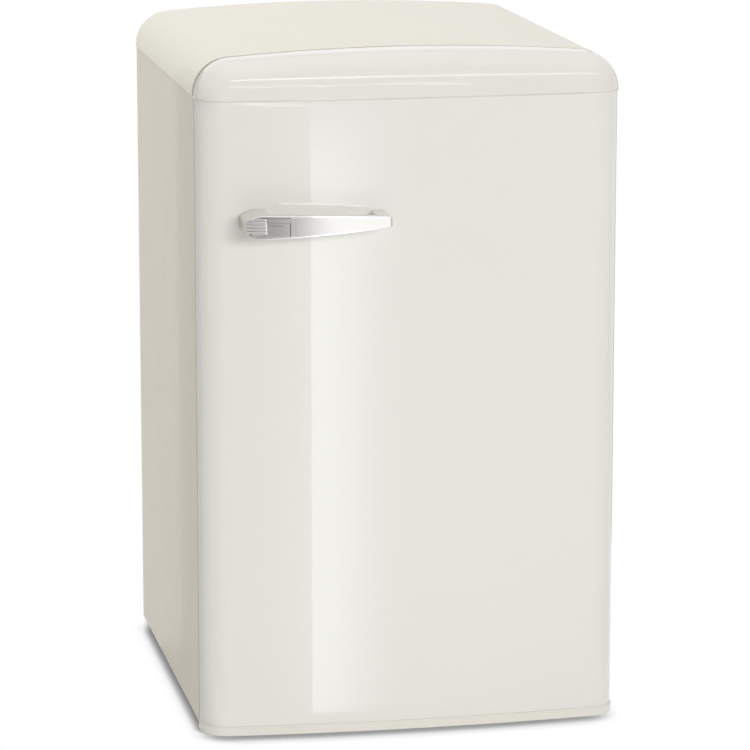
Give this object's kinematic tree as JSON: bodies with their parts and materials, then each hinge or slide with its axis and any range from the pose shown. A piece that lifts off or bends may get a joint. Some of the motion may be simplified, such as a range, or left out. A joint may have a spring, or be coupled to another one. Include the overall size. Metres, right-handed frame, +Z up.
{
  "type": "under-counter refrigerator",
  "caption": "Free-standing retro under-counter fridge with a domed top, a bowed hinged door with a chrome bar handle, glass shelves, a crisper drawer and door bins.",
  "frame": {"origin": "centre of the bounding box in plan, on the floor under the feet", "axes": "+X to the right as seen from the front, the door faces -Y, +Z up"},
  "size_m": [0.55, 0.661, 0.895],
  "materials": {
    "cream_paint": "gloss enamel",
    "side_paint": "gloss enamel",
    "cream_plastic": "gloss",
    "chrome": "polished",
    "gasket": "matt",
    "liner": "satin",
    "foam": "matt",
    "shelf_glass": "clear",
    "trim": "satin",
    "clear_plastic": "clear",
    "white_plastic": "satin",
    "zinc": "zinc plated",
    "black_paint": "satin",
    "black_plastic": "matt",
    "grey_plastic": "matt",
    "black_rubber": "matt",
    "copper": "bright",
    "aluminium": "mill",
    "magnet": "matt",
    "lamp_glass": "clear"
  },
  "bodies": {
    "cabinet": {"back_panel": "zinc", "base_pan": "zinc", "bay_panel": "zinc", "bottom_hinge": "zinc", "cabinet_foam": "foam", "compressor": "black_paint", "compressor_bolts": "zinc", "compressor_grommets": "black_rubber", "compressor_plate": "zinc", "compressor_rail": "zinc", "condenser_clips": "black_plastic", "condenser_tube": "black_paint", "condenser_wires": "black_paint", "control_housing": "white_plastic", "cord_gland": "black_rubber", "drain_tube": "white_plastic", "drip_tray": "black_plastic", "evaporator": "aluminium", "filter_drier": "copper", "foot_sockets": "black_plastic", "glass_shelves": "shelf_glass", "hinge_pins": "zinc", "hinge_screws": "zinc", "inner_liner": "liner", "lamp_bulb": "lamp_glass", "lamp_cover": "clear_plastic", "lamp_holder": "white_plastic", "left_side_panel": "side_paint", "refrigerant_pipes": "copper", "relay_cover": "black_plastic", "right_side_panel": "side_paint", "roller_axles": "zinc", "shelf_front_trims": "trim", "shelf_rear_trims": "trim", "thermostat": "grey_plastic", "top_cover": "cream_plastic", "top_hinge": "zinc", "top_panel": "side_paint"},
    "door": {"door_skin": "cream_paint", "door_top_cap": "cream_plastic", "door_bottom_cap": "cream_plastic", "door_liner": "liner", "door_foam": "foam", "door_gasket": "gasket", "gasket_magnets": "magnet", "hinge_bushes": "white_plastic", "handle_bar": "chrome", "handle_ornament": "chrome", "handle_pads": "grey_plastic", "handle_screws": "zinc"},
    "crisper": {"crisper_drawer": "clear_plastic"},
    "knob": {"thermostat_knob": "grey_plastic"},
    "switch_plunger": {"door_switch_plunger": "white_plastic"},
    "left_foot": {"left_foot": "black_plastic"},
    "right_foot": {"right_foot": "black_plastic"},
    "left_roller": {"left_roller": "black_plastic"},
    "right_roller": {"right_roller": "black_plastic"},
    "top_bin": {"top_bin": "clear_plastic"},
    "middle_bin": {"middle_bin": "clear_plastic"},
    "bottle_bin": {"bottle_bin": "clear_plastic"}
  },
  "joints": [
    {"name": "door_swing", "type": "hinge", "parent": "cabinet", "child": "door", "pos_m": [0.259, -0.2395, 0], "axis": [0, 0, 1], "range_deg": [0, 120]},
    {"name": "crisper_slide", "type": "slide", "parent": "cabinet", "child": "crisper", "axis": [0, -1, 0], "range_m": [0, 0.15]},
    {"name": "switch_press", "type": "slide", "parent": "cabinet", "child": "switch_plunger", "axis": [0, -1, 0], "range_m": [0, 0.006]},
    {"name": "thermostat_turn", "type": "hinge", "parent": "cabinet", "child": "knob", "pos_m": [0.195, -0.0645, 0.731], "axis": [-1, 0, 0], "range_deg": [0, 270]},
    {"name": "left_foot_screw", "type": "hinge", "parent": "cabinet", "child": "left_foot", "pos_m": [-0.225, -0.1395, 0], "axis": [0, 0, 1], "continuous": true},
    {"name": "right_foot_screw", "type": "hinge", "parent": "cabinet", "child": "right_foot", "pos_m": [0.225, -0.1395, 0], "axis": [0, 0, 1], "continuous": true},
    {"name": "left_roller_spin", "type": "hinge", "parent": "cabinet", "child": "left_roller", "pos_m": [-0.239, 0.3005, 0.013], "axis": [1, 0, 0], "continuous": true},
    {"name": "right_roller_spin", "type": "hinge", "parent": "cabinet", "child": "right_roller", "pos_m": [0.239, 0.3005, 0.013], "axis": [1, 0, 0], "continuous": true},
    {"name": "top_bin_lift", "type": "slide", "parent": "door", "child": "top_bin", "axis": [0, 0, 1], "range_m": [0, 0.04]},
    {"name": "middle_bin_lift", "type": "slide", "parent": "door", "child": "middle_bin", "axis": [0, 0, 1], "range_m": [0, 0.04]},
    {"name": "bottle_bin_lift", "type": "slide", "parent": "door", "child": "bottle_bin", "axis": [0, 0, 1], "range_m": [0, 0.04]}
  ],
  "couplings": [
    {"joint": "crisper_slide", "follows": "door_swing", "m_per_rad": 0.0715},
    {"joint": "switch_press", "follows": "door_swing", "m_per_rad": 0.0028}
  ]
}
